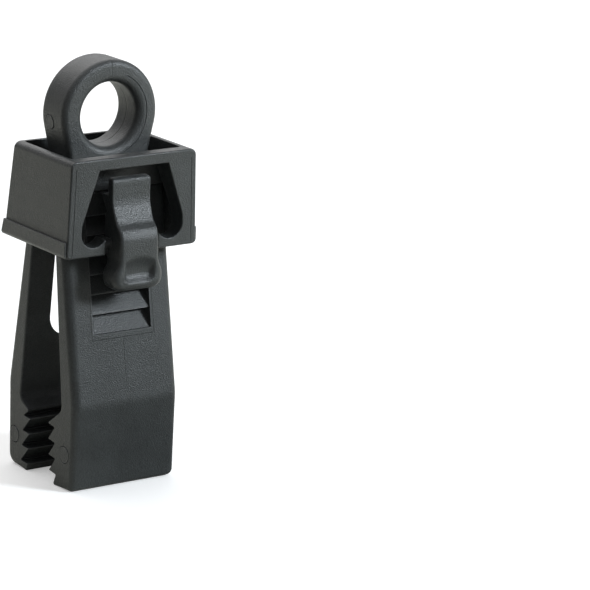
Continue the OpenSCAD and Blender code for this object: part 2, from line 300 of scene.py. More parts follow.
def join(obj, other):
    return combine(obj, other, "UNION")


def rod_x(name, r, half, y, z, sides=40):
    ring = [(y + r * math.cos(a), z + r * math.sin(a)) for a in full_turn(sides)]
    return loft(name, [[(x, u, v) for u, v in ring] for x in (-half, half)])


def around(foot, out, r, along, angle):
    """A point at a radius and an angle round the line from foot in the direction out, a way along it."""
    turn = Vector(out).normalized().to_track_quat("Z", "Y")
    return tuple(Vector(foot) + turn @ Vector((r * math.cos(angle), r * math.sin(angle), along)))


def raised_disc(name, foot, out, r, low, high, sides=56):
    """A flat disc with a small bevel, from low to high along the direction out."""
    rows = ((r, low), (r, high - DISC_BEVEL), (r - DISC_BEVEL, high))
    return loft(name, [[around(foot, out, *row, a) for a in full_turn(sides)] for row in rows])


def groove_sections(foot, out, r, face, line, angles):
    """Triangles along a circle, a distance face from foot, that cut a line of (half width, depth)."""
    half, deep = line
    above = 0.5
    spread, top = (1 + above) * half, face + above * deep
    corners = ((r - spread, top), (r, face - deep), (r + spread, top))
    return [[around(foot, out, *corner, a) for corner in corners] for a in angles]


def ring_groove(foot, out, r, face, line, sides=120):
    return closed_ring("ring_groove", groove_sections(foot, out, r, face, line, full_turn(sides)))


def arc_groove(foot, out, r, face, line, start, end, parts=60):
    angles = [math.radians(start + (end - start) * i / parts) for i in range(parts + 1)]
    return loft("arc_groove", groove_sections(foot, out, r, face, line, angles))


def finish_mesh(obj, body, node, material):
    """Cleans and smooths a piece, gives it its material and hands it to the frame."""
    mesh = obj.data
    bm = bmesh.new()
    bm.from_mesh(mesh)
    bmesh.ops.remove_doubles(bm, verts=bm.verts, dist=SAME_PLACE_M)
    bmesh.ops.dissolve_degenerate(bm, edges=bm.edges, dist=NO_LENGTH_M)
    bmesh.ops.recalc_face_normals(bm, faces=bm.faces)
    bm.to_mesh(mesh)
    bm.free()
    for p in mesh.polygons:
        p.use_smooth = True
    mesh.set_sharp_from_angle(angle=SHARP_ANGLE)
    mod = obj.modifiers.new("even_shading", "WEIGHTED_NORMAL")
    mod.keep_sharp = True
    mod.weight = NORMAL_WEIGHT
    mesh.materials.clear()
    mesh.materials.append(material)
    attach(obj, body)
    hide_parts(node)


# Shader nodes

class Wiring:
    """Short calls for the nodes of one material or world."""

    def __init__(self, owner):
        owner.use_nodes = True
        self.nodes = owner.node_tree.nodes
        self.links = owner.node_tree.links

    def put(self, value, socket):
        """Links an output to the socket, or sets the socket's constant."""
        if isinstance(value, bpy.types.NodeSocket):
            self.links.new(value, socket)
        else:
            socket.default_value = value

    def node(self, kind, inputs, **settings):
        made = self.nodes.new("ShaderNode" + kind)
        for name, value in settings.items():
            setattr(made, name, value)
        for key, value in inputs.items():
            self.put(value, made.inputs[key])
        return made

    def calc(self, operation, *values):
        return self.node("Math", dict(enumerate(values)), operation=operation).outputs[0]

    def chain(self, operation, values):
        """One value from many, taken two at a time."""
        total = values[0]
        for value in values[1:]:
            total = self.calc(operation, total, value)
        return total

    def blend(self, a, b, share):
        """A sum of two values, with the second one's share given."""
        return self.calc("ADD", self.calc("MULTIPLY", a, 1.0 - share), self.calc("MULTIPLY", b, share))

    def vector(self, operation, inputs, output):
        return self.node("VectorMath", inputs, operation=operation).outputs[output]

    def level(self, value, start, end, low, high, form="LINEAR"):
        """Carries a value from the range start to end over to the range low to high."""
        inputs = {"Value": value, "From Min": start, "From Max": end, "To Min": low, "To Max": high}
        return self.node("MapRange", inputs, interpolation_type=form).outputs[0]

    def noise(self, place, scale, detail, roughness):
        inputs = {"Vector": place, "Scale": scale, "Detail": detail, "Roughness": roughness}
        return self.node("TexNoise", inputs).outputs["Fac"]

    def ramp(self, value, stops):
        made = self.node("ValToRGB", {0: value})
        for element, (position, colour) in zip(made.color_ramp.elements, stops):
            element.position = position
            element.color = colour
        return made.outputs[0]

    def mix(self, factor, a, b, form="MIX"):
        """A mix of two colours, which go into the node's sockets 6 and 7 and come out of its third."""
        inputs = {"Factor": factor, 6: a, 7: b}
        return self.node("Mix", inputs, data_type="RGBA", blend_type=form).outputs[2]


# Black plastic

# Scale, detail and roughness of each noise
GRAIN, FLECK = (5200.0, 1.0, 0.5), (3300.0, 2.0, 0.6)
MOTTLE, CLOUD = (650.0, 2.0, 0.5), (95.0, 3.0, 0.55)

TONES = ((0.36, (0.0195, 0.0219, 0.0225, 1)), (0.66, (0.0390, 0.0432, 0.0442, 1)))
TONE_FLECK_SHARE, RELIEF_FLECK_SHARE = 0.6, 0.8
RELIEF_STRENGTH, RELIEF_DEPTH = 1.0, 0.15
GLOSS_RANGE = (0.35, 0.65)
PLAIN_GLOSS, RING_GLOSS, JAW_GLOSS = (0.34, 0.42), (0.40, 0.48), (0.38, 0.46)
PLAIN_SPECULAR, RING_SPECULAR, FRONT_SPECULAR, REAR_SPECULAR = 0.5, 0.6, 0.38, 0.42
RACK_POLISH, RACK_SKIN, RACK_SKIN_DEPTH = 0.02, 0.1, 0.34

# Paler outer edges: partly wear, partly a painted highlight where edges catch light
EDGE_WEAR_AND_HIGHLIGHT_TONE, EDGE_WEAR_AND_HIGHLIGHT_RANGE, EDGE_WEAR_AND_HIGHLIGHT_LEAST = (0.13, 0.136, 0.14, 1), (0.15, 0.55), 0.2
EDGE_REACH, EDGE_SAMPLES = 0.35, 6

LINE_TONE, LINE_DARK, LINE_CORE = (0.12, 0.12, 0.12, 1), 0.75, 0.25
LINE_STRENGTH, LINE_DEPTH = 0.8, 0.2

# A thin groove across an axis, at a place on it, within a box of (axis, low, high) rows
Mark = namedtuple("Mark", "axis at width depth box")


def inside(w, axes, box):
    """1 inside a box of (axis, low, high) rows, and 0 outside it."""
    tests = []
    for axis, low, high in box:
        tests.append(w.calc("GREATER_THAN", axes[axis], low * MM))
        tests.append(w.calc("LESS_THAN", axes[axis], high * MM))
    return w.chain("MULTIPLY", tests)


def in_rack(w, axes):
    """1 on the ledges of the front jaw's rack, below its outer face, and 0 elsewhere."""
    wide = RACK_HALF + RACK_SKIN
    box = [("x", -wide, wide), ("z", RACK_LOW - RACK_SKIN, RACK_TOP + RACK_SKIN)]
    out = w.calc("MULTIPLY", axes["y"], -1.0)
    level = w.calc("ADD", out, w.calc("MULTIPLY", axes["z"], JAW_SLOPE))
    face = SPREAD_MOUTH + JAW_SLOPE * MOUTH
    below = w.calc("LESS_THAN", level, (face - RACK_SKIN_DEPTH) * MM)
    return w.calc("MULTIPLY", inside(w, axes, box), below)


def wear_and_highlight_edges(w, colour, grain):
    """The colour, paler within a short reach of an outer edge: partly wear, partly a painted highlight where
    edges catch light.
    """
    reach = {"Distance": EDGE_REACH * MM}
    edge = w.node("AmbientOcclusion", reach, inside=True, only_local=True, samples=EDGE_SAMPLES)
    edge_paling = w.level(w.calc("SUBTRACT", 1.0, edge.outputs["AO"]), *EDGE_WEAR_AND_HIGHLIGHT_RANGE, 0.0, 1.0)
    return w.mix(w.calc("MULTIPLY", edge_paling, w.calc("ADD", EDGE_WEAR_AND_HIGHLIGHT_LEAST, grain)), colour, EDGE_WEAR_AND_HIGHLIGHT_TONE)


def mark_level(w, axes, mark):
    """The mark's depth in the middle of its line, falling to 0 at its width."""
    apart = w.calc("ABSOLUTE", w.calc("SUBTRACT", axes[mark.axis], mark.at * MM))
    line = w.level(apart, LINE_CORE * mark.width * MM, mark.width * MM, 1.0, 0.0, "SMOOTHSTEP")
    return w.calc("MULTIPLY", w.calc("MULTIPLY", line, inside(w, axes, mark.box)), mark.depth)


def plastic(name, marks=(), gloss=PLAIN_GLOSS, specular=PLAIN_SPECULAR, polish=0.0):
    """Moulded plastic with a fine grain, paler edges as wear and painted highlight, and the marks as
    grooves; polish smooths the rack.
    """
    material = bpy.data.materials.new(name)
    w = Wiring(material)
    place = w.node("TexCoord", {}).outputs["Object"]
    axes = dict(zip("xyz", w.node("SeparateXYZ", {0: place}).outputs))
    grain, fleck, mottle, cloud = [w.noise(place, *sizes) for sizes in (GRAIN, FLECK, MOTTLE, CLOUD)]

    rough = w.level(w.calc("MULTIPLY", w.calc("ADD", cloud, mottle), 0.5), *GLOSS_RANGE, *gloss)
    if polish:
        rough = w.calc("SUBTRACT", rough, w.calc("MULTIPLY", in_rack(w, axes), polish))
    tone = w.ramp(w.blend(cloud, fleck, TONE_FLECK_SHARE), TONES)
    # Outer edges painted paler, partly as wear and partly as painted highlight
    colour = wear_and_highlight_edges(w, tone, grain)
    relief = {"Strength": RELIEF_STRENGTH, "Distance": RELIEF_DEPTH * MM}
    relief["Height"] = w.blend(grain, fleck, RELIEF_FLECK_SHARE)
    normal = w.node("Bump", relief).outputs["Normal"]
    if marks:
        lines = w.chain("MAXIMUM", [mark_level(w, axes, mark) for mark in marks])
        colour = w.mix(w.calc("MULTIPLY", lines, LINE_DARK), colour, LINE_TONE, "MULTIPLY")
        groove = {"Strength": LINE_STRENGTH, "Distance": LINE_DEPTH * MM, "Height": lines, "Normal": normal}
        normal = w.node("Bump", groove, invert=True).outputs["Normal"]

    shader = w.nodes["Principled BSDF"].inputs
    w.put(colour, shader["Base Color"])
    w.put(rough, shader["Roughness"])
    w.put(specular, shader["Specular IOR Level"])
    w.put(normal, shader["Normal"])
    return material


# Ejector discs

DISC_GAP, DISC_LINE = 0.08, (0.14, 0.16)


def ejector_disc(piece, foot, out, r, face, sunk, proud):
    """A raised disc in a fine groove, where a pin pushed the piece out of its mould."""
    join(piece, raised_disc("ejector_disc", foot, out, r, face - sunk, face + proud))
    return cut(piece, ring_groove(foot, out, r + DISC_GAP, face, DISC_LINE))


# Ring with its stem and block

BORE_R, BORE_LIP = 7.5, 2.0
RING_R, RING_HALF, RING_EDGE = 12.8, 5.0, 1.5
RING_SIDES, RING_EDGE_PARTS, FACE_SHARE = 144, 8, 0.55
STEM_LEAN, STEM_LOW = math.radians(13.5), -11.6
BLOCK_TOP = -10.6
BLOCK_TOP_ROUND, BLOCK_LOW_ROUND = (0.8, 0.5), (0.3, 0.2)
SOCKET_R, NECK_SLOT_HALF = 2.25, 1.6
EYE_LINE_R, EYE_LINE, EYE_LINE_ARC = 9.75, (0.13, 0.14), (-78, 66)
RING_DISC_R, RING_DISC_Y, RING_DISC_FALL = 1.6, 1.1, math.radians(7)
RING_DISC_FACE, RING_DISC_SUNK, RING_DISC_PROUD = 12.75, 0.75, 0.11
BORE_REACH, BORE_SEAM, BORE_SEAM_DEPTH = 8.2, 0.24, 1.0
CROWN_LOW, CROWN_HIGH, CROWN_SEAM_DEPTH = 8.0, 14.0, 0.5
SEAM = 0.12

bore_box = [(axis, -BORE_REACH, BORE_REACH) for axis in "xz"]
ring_marks = [
    Mark("y", 0.0, BORE_SEAM, BORE_SEAM_DEPTH, bore_box),
    Mark("x", 0.0, SEAM, CROWN_SEAM_DEPTH, [("z", CROWN_LOW, CROWN_HIGH)]),
]


def arch_radius(angle):
    """Distance from the eye's centre to the outside of the arch, in a direction counted from +X."""
    c, s = math.cos(angle), math.sin(angle)
    if s > -math.sin(STEM_LEAN):
        return RING_R
    side = RING_R / max(TINY, abs(c) * math.cos(STEM_LEAN) - s * math.sin(STEM_LEAN))
    return min(side, STEM_LOW / s)


def ring_section(angle):
    """The ring cut in a direction counted from +X: a round lip, a flat face and a rounded outer edge."""
    far = arch_radius(angle)
    front = []
    for w in quarter(RING_EDGE_PARTS):
        front.append((BORE_R + BORE_LIP * (1 - math.cos(w)), RING_HALF - BORE_LIP + BORE_LIP * math.sin(w)))
    front.append(((BORE_R + BORE_LIP) * (1 - FACE_SHARE) + (far - RING_EDGE) * FACE_SHARE, RING_HALF))
    for w in quarter(RING_EDGE_PARTS):
        front.append((far - RING_EDGE * (1 - math.sin(w)), RING_HALF - RING_EDGE + RING_EDGE * math.cos(w)))
    back = [(r, -y) for r, y in reversed(front)]
    section = front + [(far, 0.0)] + back + [(BORE_R, 0.0)]
    return [(r * math.cos(angle), y, r * math.sin(angle)) for r, y in section]


def yoke_block():
    """The block under the ring, with a socket and a slot below it for each jaw's knuckle and neck."""
    loop = [
        (-BLOCK_HALF, BLOCK_TOP, *BLOCK_TOP_ROUND), (-BLOCK_HALF, BLOCK_LOW, *BLOCK_LOW_ROUND),
        (BLOCK_HALF, BLOCK_LOW, *BLOCK_LOW_ROUND), (BLOCK_HALF, BLOCK_TOP, *BLOCK_TOP_ROUND),
    ]
    block = prism_x("block", fillet_loop(loop), JAW_HALF)
    for y in (-PIVOT_Y, PIVOT_Y):
        cut(block, rod_x("socket", SOCKET_R, JAW_HALF + BEYOND, y, PIVOT_Z))
        neck = rectangle(y - NECK_SLOT_HALF, BLOCK_LOW - BEYOND, y + NECK_SLOT_HALF, PIVOT_Z)
        cut(block, prism_x("neck_slot", neck, JAW_HALF + BEYOND))
    return block


def build_ring():
    ring = closed_ring("ring_body", [ring_section(a) for a in full_turn(RING_SIDES, 0.5)])
    join(ring, yoke_block())
    cut(ring, arc_groove((0, 0, 0), (0, -1, 0), EYE_LINE_R, RING_HALF, EYE_LINE, *EYE_LINE_ARC))
    foot = (0, RING_DISC_Y, 0)
    out = (-math.cos(RING_DISC_FALL), 0, -math.sin(RING_DISC_FALL))
    return ejector_disc(ring, foot, out, RING_DISC_R, RING_DISC_FACE, RING_DISC_SUNK, RING_DISC_PROUD)


# Jaws, with y counted outwards from the middle plane

BEND_UP, SPREAD_MOUTH, SPREAD_TIP = 20.5, 8.9, 13.9
BEND = TIP + BEND_UP
JAW_SLOPE = (SPREAD_BEND - SPREAD_MOUTH) / (MOUTH - BEND)
TIP_EDGE, BEND_ROUND, MOUTH_ROUND = 1.3, (9.0, 2.0), (14.0, 2.0)
FRONT_TIP_ROUND, REAR_TIP_ROUND = 1.3, 2.8
SHOULDER_Y, SHOULDER_Z, SHOULDER_ROUND = 6.2, -17.08, (0.8, 0.6)
KNUCKLE_R, KNUCKLE_EDGE, KNUCKLE_ARC, KNUCKLE_PARTS = 2.2, 0.25, (-60, 240), 24
NECK_HALF, NECK_TOP, NECK_LOW, NECK_ROUND = 1.1, -16.2, -17.5, (2.0, 0.35)
TIP_CORNER, CORNER_SPARE, TIP_CORNER_PARTS = 3.0, 0.02, 12
OUTSIDE_Y = 20.0

GAP_MOUTH, GAP_ROUND, THROAT_ROUND = 4.9, (20.0, 0.4), (2.4, 0.4)
TOOTH_COUNT, TOOTH_PITCH, TOOTH_DEPTH = 4, 3.75, 3.0
CREST_ROUND, ROOT_ROUND = (0.16, 0.12), (0.22, 0.12)
FRONT_THROAT, FRONT_CREST, FRONT_ROOT_RISE = (9.05, -67.6), (3.4, -72.0), -0.375
FRONT_END_Y, FRONT_END_ROUND = 5.92, (0.5, 0.3)
REAR_THROAT, REAR_CREST, REAR_ROOT_RISE = (9.1, -69.2), (4.4, -73.3), 0.19
REAR_BROW, REAR_BROW_ROUND = (5.0, -71.43), (0.5, 0.2)
REAR_END_Y, REAR_END_ROUND = 5.53, (0.4, 0.3)

RACK_LOW, RACK_PITCH, RACK_COUNT, RACK_HALF = -49.6, 4.5, 6, 7.9
RACK_SINK, RACK_STEP, RACK_LAND = 0.5, 2.2, 0.6
RACK_TOP = RACK_LOW + RACK_COUNT * RACK_PITCH

SLOT_HALF, SLOT_LOW, SLOT_TOP, SLOT_ROUND, SLOT_EDGE = 7.7, -54.9, -26.0, 5.0, 0.5
SLOT_MIDDLE, SLOT_FALL, SLOT_FALL_FROM, SLOT_LOW_OUT = -45.0, 0.28, 7.7, 0.28

JAW_DISC_R, JAW_DISC_SUNK, JAW_DISC_PROUD = 1.9, 0.5, 0.09
FRONT_DISC_Y, FRONT_DISC_Z = -10.7, -77.8
REAR_DISC_Y, REAR_DISC_Z = 11.2, -78.7

# The seams round the rack, below it, and on the left sides of the jaws in line with the discs
FRAME_HALF, FRAME_LOW, FRAME_TOP, FRAME_OUT = 8.5, -51.0, -22.0, -16.0
FRAME_LINE_Z, FRAME_LOW_IN, FRAME_SIDE_IN, MIDDLE_SEAM_LOW = -50.9, -10.0, -6.0, -61.0
SEAM_DEPTH, SIDE_SEAM_DEPTH = 0.45, 0.4
LEFT_SIDE = ("x", -15.0, -14.0)
FRONT_SEAM_Z, REAR_SEAM_Z = (-75.6, -69.0), (-85.0, -73.0)

frame_foot = [("x", -FRAME_HALF, FRAME_HALF), ("y", FRAME_OUT, FRAME_LOW_IN)]
frame_side = [("z", FRAME_LOW, FRAME_TOP), ("y", FRAME_OUT, FRAME_SIDE_IN)]
front_marks = [
    Mark("x", 0.0, SEAM, SEAM_DEPTH, [("z", MIDDLE_SEAM_LOW, FRAME_LOW)]),
    Mark("z", FRAME_LINE_Z, SEAM, SEAM_DEPTH, frame_foot),
    Mark("x", -FRAME_HALF, SEAM, SEAM_DEPTH, frame_side),
    Mark("x", FRAME_HALF, SEAM, SEAM_DEPTH, frame_side),
    Mark("y", FRONT_DISC_Y, SEAM, SIDE_SEAM_DEPTH, [LEFT_SIDE, ("z", *FRONT_SEAM_Z)]),
]
rear_marks = [Mark("y", REAR_DISC_Y, SEAM, SIDE_SEAM_DEPTH, [LEFT_SIDE, ("z", *REAR_SEAM_Z)])]


def outer_face(z):
    return SPREAD_MOUTH + JAW_SLOPE * (MOUTH - z)


def jaw_loop(inner, tip_round):
    """Outline of a jaw: outer face upwards, over the knuckle, then down the given inner points."""
    near, far = PIVOT_Y - NECK_HALF, PIVOT_Y + NECK_HALF
    outline = [
        inner[-1],
        (SPREAD_TIP, TIP, tip_round, TIP_EDGE),
        (SPREAD_BEND, BEND, *BEND_ROUND),
        (SPREAD_MOUTH, MOUTH, *MOUTH_ROUND),
        (SHOULDER_Y, SHOULDER_Z, *SHOULDER_ROUND),
        (far, SHOULDER_Z, 0, KNUCKLE_EDGE),
        (far, NECK_TOP, 0, KNUCKLE_EDGE),
        (near, NECK_TOP, 0, KNUCKLE_EDGE),
        (near, NECK_LOW, *NECK_ROUND),
        *inner[:-1],
    ]
    out = []
    for u, v, side in fillet_loop(outline):
        if v != NECK_TOP:
            out.append((u, v, side))
        elif u == far:
            out += arc(PIVOT_Y, PIVOT_Z, KNUCKLE_R, *KNUCKLE_ARC, KNUCKLE_EDGE, KNUCKLE_PARTS)
    return out


def tooth_row(first, root_rise):
    """Crest and root of each tooth downwards; the row leans so as to stand upright with the jaw shut."""
    y, z = first
    row = []
    for i in range(TOOTH_COUNT):
        down = TOOTH_PITCH * i
        crest = y + down * CLOSE_TAN
        root = (crest + TOOTH_DEPTH, z - down + root_rise, *ROOT_ROUND)
        row.append(((crest, z - down, *CREST_ROUND), root))
    return row


def front_inside():
    points = [(GAP_MOUTH, MOUTH, *GAP_ROUND), (*FRONT_THROAT, *THROAT_ROUND)]
    for crest, root in tooth_row(FRONT_CREST, FRONT_ROOT_RISE):
        points += [crest, root]
    return points + [(FRONT_END_Y, TIP, *FRONT_END_ROUND)]


def rear_inside():
    points = [(GAP_MOUTH, MOUTH, *GAP_ROUND), (*REAR_THROAT, *THROAT_ROUND), (*REAR_BROW, *REAR_BROW_ROUND)]
    for crest, root in tooth_row(REAR_CREST, REAR_ROOT_RISE):
        points += [root, crest]
    return points + [(REAR_END_Y, TIP, *REAR_END_ROUND)]


def round_tip(jaw):
    """Rounds the lower right corner of a jaw as it is seen from the front."""
    x, z = JAW_HALF - TIP_CORNER + CORNER_SPARE, TIP + TIP_CORNER - CORNER_SPARE
    loop = [(JAW_HALF + BEYOND, TIP - BEYOND, 0), (x, TIP - BEYOND, 0)]
    loop += arc(x, z, TIP_CORNER, -90, 0, 0, TIP_CORNER_PARTS)
    loop.append((JAW_HALF + BEYOND, z, 0))
    return cut(jaw, prism_y("tip_corner", loop, lambda _: -OUTSIDE_Y, lambda _: OUTSIDE_Y))


def finish_jaw(jaw, disc_y, disc_z):
    foot, out = (0, disc_y, disc_z), (-1, 0, 0)
    return ejector_disc(round_tip(jaw), foot, out, JAW_DISC_R, JAW_HALF, JAW_DISC_SUNK, JAW_DISC_PROUD)


def rack_cutter():
    """The ledges in the front jaw's outer face, from the lower end of the rack upwards."""
    low_face, top_face = outer_face(RACK_LOW), outer_face(RACK_TOP)
    profile = [(low_face + BEYOND, RACK_LOW), (low_face - RACK_SINK, RACK_LOW)]
    for i in range(1, RACK_COUNT):
        z = RACK_LOW + i * RACK_PITCH
        crest, land = outer_face(z) - RACK_SINK, z + RACK_LAND
        profile += [(crest - RACK_STEP, z), (crest, z), (outer_face(land) - RACK_SINK, land)]
    profile += [(top_face - RACK_SINK - RACK_STEP, RACK_TOP), (top_face + BEYOND, RACK_TOP)]
    return prism_x("rack", [(u, v, 0) for u, v in profile], RACK_HALF, flip=-1.0)


def slot_cutter():
    """The rear jaw's through slot with its rounded outer edge; the lower end falls towards the outside."""
    outline = clean_loop(rectangle(-SLOT_HALF, SLOT_LOW, SLOT_HALF, SLOT_TOP, SLOT_ROUND))
    edge = [(u, v, SLOT_EDGE) for u, v, _ in outline]

    def lowered(u, v, y):
        fall = SLOT_FALL * (y - SLOT_FALL_FROM) if v < SLOT_MIDDLE else 0.0
        return u, y, v - fall

    def edge_face(v):
        return outer_face(v) + (SLOT_LOW_OUT if v < SLOT_MIDDLE else 0.0)

    layers = [[lowered(u, v, 0.0) for u, v, _ in outline]]
    for s in reversed(end_steps(edge)):
        layers.append([lowered(u, v, edge_face(v) - s) for u, v in inset(edge, s, -1.0)])
    layers.append([lowered(u, v, outer_face(v) + BEYOND) for u, v in inset(edge, 0.0, -1.0)])
    return loft("slot", layers)


def build_front_jaw():
    jaw = prism_x("front_jaw_body", jaw_loop(front_inside(), FRONT_TIP_ROUND), JAW_HALF, flip=-1.0)
    cut(jaw, rack_cutter())
    return finish_jaw(jaw, FRONT_DISC_Y, FRONT_DISC_Z)


def build_rear_jaw():
    jaw = prism_x("rear_jaw_body", jaw_loop(rear_inside(), REAR_TIP_ROUND), JAW_HALF)
    cut(jaw, slot_cutter())
    return finish_jaw(jaw, REAR_DISC_Y, REAR_DISC_Z)


# Collar

COLLAR_LOW_HALF, COLLAR_TOP_HALF = 17.6, 16.9
COLLAR_LOW_ROUND, COLLAR_TOP_ROUND, COLLAR_EDGE = 1.1, 1.6, 0.45
FRONT_AT_MOUTH, FRONT_GROWTH = 15.172, 0.234
REAR_AT_MOUTH, REAR_FALL = 12.372, 2.766
BAND_TOP, BAND_TOP_HALF, BAND_TOP_ROUND, BAND_EDGE = -26.0, 17.95, 0.18, 0.15
BAND_FRONT, BAND_REAR, BAND_REAR_SLOPE = -14.75, 12.0, 0.28

INSIDE_HALF, INSIDE_ROUND = 14.7, 1.0
INSIDE_FRONT, INSIDE_REAR, INSIDE_FALL = 11.372, 10.772, 2.166
MOUTH_CHAMFER, RIM_ROUND, RIM_STEP = 0.35, 0.4, 0.12
FLARE, FLARE_HEIGHT = 2.9, 4.2

WINDOW_SIDE = [(9.3, -10.0), (10.2, -12.6), (11.15, -15.4), (12.25, -18.6), (13.1, -21.0), (13.6, -22.7)]
WINDOW_EDGE, WINDOW_EDGE_PARTS, WINDOW_FLOOR = 0.3, 4, -8.0
LOBE_X, LOBE_Z, LOBE_R, LOBE_ARC, LOBE_PARTS = 10.25, -24.4, 3.45, (12, -138), 18
SILL_X, SILL_Z, SLIT_HALF = 7.3, -26.4, 5.23

RECESS_NEAR, RECESS_FAR, RECESS_TOP, RECESS_FLOOR = 4.9, 7.2, -24.0, -13.2
RECESS_EDGE, RECESS_EDGE_PARTS = 0.35, 5
BAR_R, BAR_HALF = 1.1, 7.25

EDGE_LINE_TOP, EDGE_LINE_UP, EDGE_LINE_IN = -9.2, 0.1, 1.35
EDGE_LINE_HALF, EDGE_LINE_PROUD, EDGE_LINE_DEEP = 0.13, 0.06, 0.1


def up_share(z):
    """Share of the way from the collar's mouth up to its rim."""
    return (z - MOUTH) / (RIM - MOUTH)


def collar_front(z):
    return -(FRONT_AT_MOUTH + FRONT_GROWTH * up_share(z))


def collar_rear(z):
    return REAR_AT_MOUTH - REAR_FALL * up_share(z)


def band_rear(z):
    return BAND_REAR + BAND_REAR_SLOPE * (BAND_TOP - z)


def mouth_band():
    outline = trapezoid(BAND_HALF, MOUTH, COLLAR_LOW_ROUND, BAND_TOP_HALF, BAND_TOP, BAND_TOP_ROUND)
    return prism_y("band", outline, lambda _: BAND_FRONT, band_rear, BAND_EDGE)


def collar_inside():
    """The space inside the collar, wider at both ends; its front wall falls back towards the rim."""
    rows = (
        (MOUTH - BEYOND, MOUTH_CHAMFER), (MOUTH, MOUTH_CHAMFER), (MOUTH + MOUTH_CHAMFER, 0.0),
        (RIM - FLARE_HEIGHT, 0.0), (RIM - RIM_ROUND, 0.0), (RIM - RIM_STEP, RIM_STEP),
        (RIM, RIM_ROUND), (RIM + BEYOND, RIM_ROUND),
    )
    layers = []
    for z, grow in rows:
        fall = INSIDE_FALL * up_share(min(max(z, MOUTH), RIM))
        flare = FLARE * min(1.0, max(0.0, (z - RIM + FLARE_HEIGHT) / FLARE_HEIGHT))
        front, rear = fall - INSIDE_FRONT - flare - grow, INSIDE_REAR - fall + grow
        loop = rectangle(-INSIDE_HALF - grow, front, INSIDE_HALF + grow, rear, INSIDE_ROUND)
        layers.append([(u, v, z) for u, v, _ in loop])
    return loft("inside", layers)


def face_cutter(name, loop, floor_y, parts):
    """Cuts an outline into the collar's front down to floor_y, its front edge rounded as its points say."""
    loop = clean_loop(loop)
    layers = [[(u, collar_front(v) - BEYOND, v) for u, v in inset(loop, 0.0, -1.0)]]
    for s in end_steps(loop, parts):
        layers.append([(u, collar_front(v) + s, v) for u, v in inset(loop, s, -1.0)])
    layers.append([(u, floor_y, v) for u, v, _ in loop])
    return loft(name, layers)


def window_cutter():
    """The window round the lever: slanting sides, a round lobe below each, and a slit for the lever."""
    right = [(u, v, WINDOW_EDGE) for u, v in WINDOW_SIDE]
    right += arc(LOBE_X, LOBE_Z, LOBE_R, *LOBE_ARC, WINDOW_EDGE, LOBE_PARTS)
    right += [(SILL_X, SILL_Z, 0.0), (SLIT_HALF, SILL_Z, 0.0), (SLIT_HALF, MOUTH - BEYOND, 0.0)]
    loop = [(-u, v, r) for u, v, r in reversed(right)] + right
    return face_cutter("window", loop, WINDOW_FLOOR, WINDOW_EDGE_PARTS)


def lever_recess(side):
    """The hollow beside the lever, open below, which the lever's bar crosses; its front edge is rounded."""
    near, far, low = side * RECESS_NEAR, side * RECESS_FAR, MOUTH - BEYOND
    loop = [(near, low, 0), (far, low, RECESS_EDGE), (far, RECESS_TOP, RECESS_EDGE), (near, RECESS_TOP, 0)]
    return face_cutter("lever_recess", loop, RECESS_FLOOR, RECESS_EDGE_PARTS)


def edge_line(side):
    """The fine witness groove that follows a side edge of the collar's front."""
    layers = []
    for z in (EDGE_LINE_TOP, MOUTH + EDGE_LINE_UP):
        half = COLLAR_LOW_HALF + (COLLAR_TOP_HALF - COLLAR_LOW_HALF) * up_share(z)
        x, y = side * (half - EDGE_LINE_IN), collar_front(z)
        left, right, proud = x - EDGE_LINE_HALF, x + EDGE_LINE_HALF, y - EDGE_LINE_PROUD
        layers.append([(left, proud, z), (right, proud, z), (x, y + EDGE_LINE_DEEP, z)])
    return loft("edge_line", layers)


def build_collar():
    outline = trapezoid(COLLAR_LOW_HALF, MOUTH, COLLAR_LOW_ROUND, COLLAR_TOP_HALF, RIM, COLLAR_TOP_ROUND)
    collar = prism_y("collar_body", outline, collar_front, collar_rear, COLLAR_EDGE)
    join(collar, mouth_band())
    cut(collar, collar_inside())
    cut(collar, window_cutter())
    for side in (-1, 1):
        cut(collar, lever_recess(side))
        cut(collar, edge_line(side))
    return join(collar, rod_x("bar", BAR_R, BAR_HALF, BAR_Y, BAR_Z))


# Release lever

# Its section at each height: face and back counted forwards, half width, and the rounding of its edges
PAD_FACE = 18.7
LEVER_FACE = [
    (LEVER_TOP, 14.4), (-17.0, 14.4), (-18.6, 14.6), (-20.8, 15.4), (-22.8, 16.4), (-24.2, 17.82),
    (-24.8, 18.15), (-25.6, 18.47), (-26.5, 18.65), (-27.6, PAD_FACE), (LEVER_LOW, PAD_FACE),
]
LEVER_BACK = [
    (LEVER_TOP, 12.42), (-20.0, 12.42), (-21.5, 11.42), (-29.6, 11.42), (-31.8, 12.9), (LEVER_LOW, 12.9),
]
LEVER_HALF = [(LEVER_TOP, 5.2), (-30.8, 5.2), (-32.4, 5.65), (-33.8, 6.4), (-35.0, 6.68), (LEVER_LOW, 6.68)]
LEVER_EDGE = [(LEVER_TOP, 0.3), (-18.0, 0.4), (-25.0, 0.8), (-31.0, 0.9), (-35.0, 1.6), (LEVER_LOW, 1.6)]
LEVER_REAR_EDGE = [(LEVER_TOP, 0.3), (-30.0, 0.3), (-34.0, 0.9), (LEVER_LOW, 0.9)]

# Rounding of its upper and lower end, in the half width, the face and the back
HALF_ENDS, FACE_ENDS, BACK_ENDS = (0.8, 3.0), (1.1, 2.0), (0.3, 1.2)
FACE_CELLS, EDGE_PARTS, REAR_EDGE_PARTS = 8, 6, 4

# Heights of its sections: close together at both ends, and finer from the bend down
TOP_SPAN, TOP_PARTS, LOW_SPAN, LOW_PARTS = 0.8, 6, 1.75, 12
STRAIGHT_TOP, STRAIGHT_STEP, STRAIGHT_COUNT = -13.8, 0.5, 9
BENT_TOP, BENT_STEP, BENT_COUNT = -18.25, 0.25, 74

